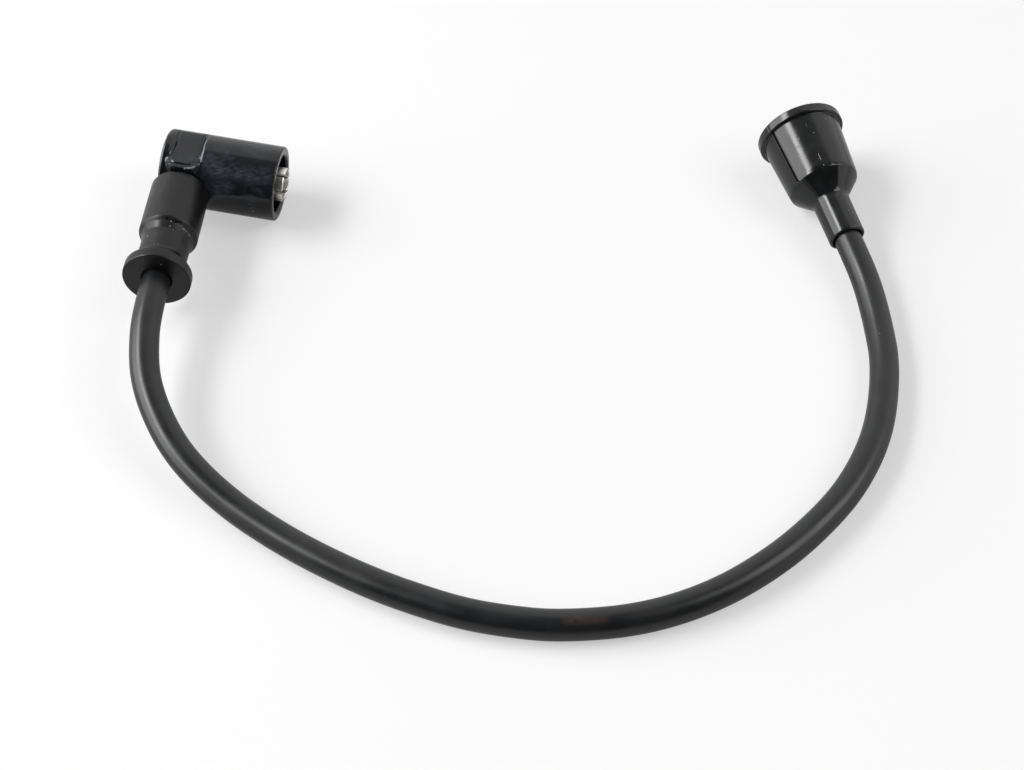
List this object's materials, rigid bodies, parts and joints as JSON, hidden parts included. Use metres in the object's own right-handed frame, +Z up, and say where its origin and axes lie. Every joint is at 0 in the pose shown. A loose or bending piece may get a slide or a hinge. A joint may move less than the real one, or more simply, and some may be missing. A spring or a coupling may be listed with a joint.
{
  "type": "spark plug wire",
  "caption": "Ignition lead: right-angle hard connector with rubber boot, curved black cable and a straight rubber boot with a wide cup.",
  "frame": {"origin": "on the floor under the middle of the two end connectors' box, cable left out", "axes": "+Z up from the floor the lead lies on, +X from the right-angle connector towards the straight boot, +Y away from the cable's loop"},
  "size_m": [0.1876, 0.1512, 0.0227],
  "materials": {
    "thermoset": "glossy black thermoset moulding with faint handling marks",
    "rubber": "semi-matt black moulded rubber with dust specks",
    "jacket": "smooth dark grey-black cable jacket, lightly dusty, bare of print",
    "contact_metal": "nickel-plated contact, tarnished brown in places",
    "brass": "stamped brass",
    "spring_steel": "drawn spring wire",
    "ceramic": "matt ceramic resistor body",
    "core": "carbon-loaded fibre conductor"
  },
  "bodies": {
    "root": {"elbow_housing": "thermoset", "rear_cap": "thermoset", "contact_socket": "contact_metal", "socket_ring": "spring_steel", "contact_spring": "spring_steel", "resistor_front_cap": "brass", "resistor_rod": "ceramic", "resistor_rear_cap": "brass", "elbow_crimp_terminal": "brass", "elbow_core_tail": "core", "elbow_boot": "rubber", "cable": "jacket", "tower_boot": "rubber", "tower_terminal": "brass", "terminal_clip": "spring_steel", "tower_core_tail": "core"}
  },
  "joints": []
}
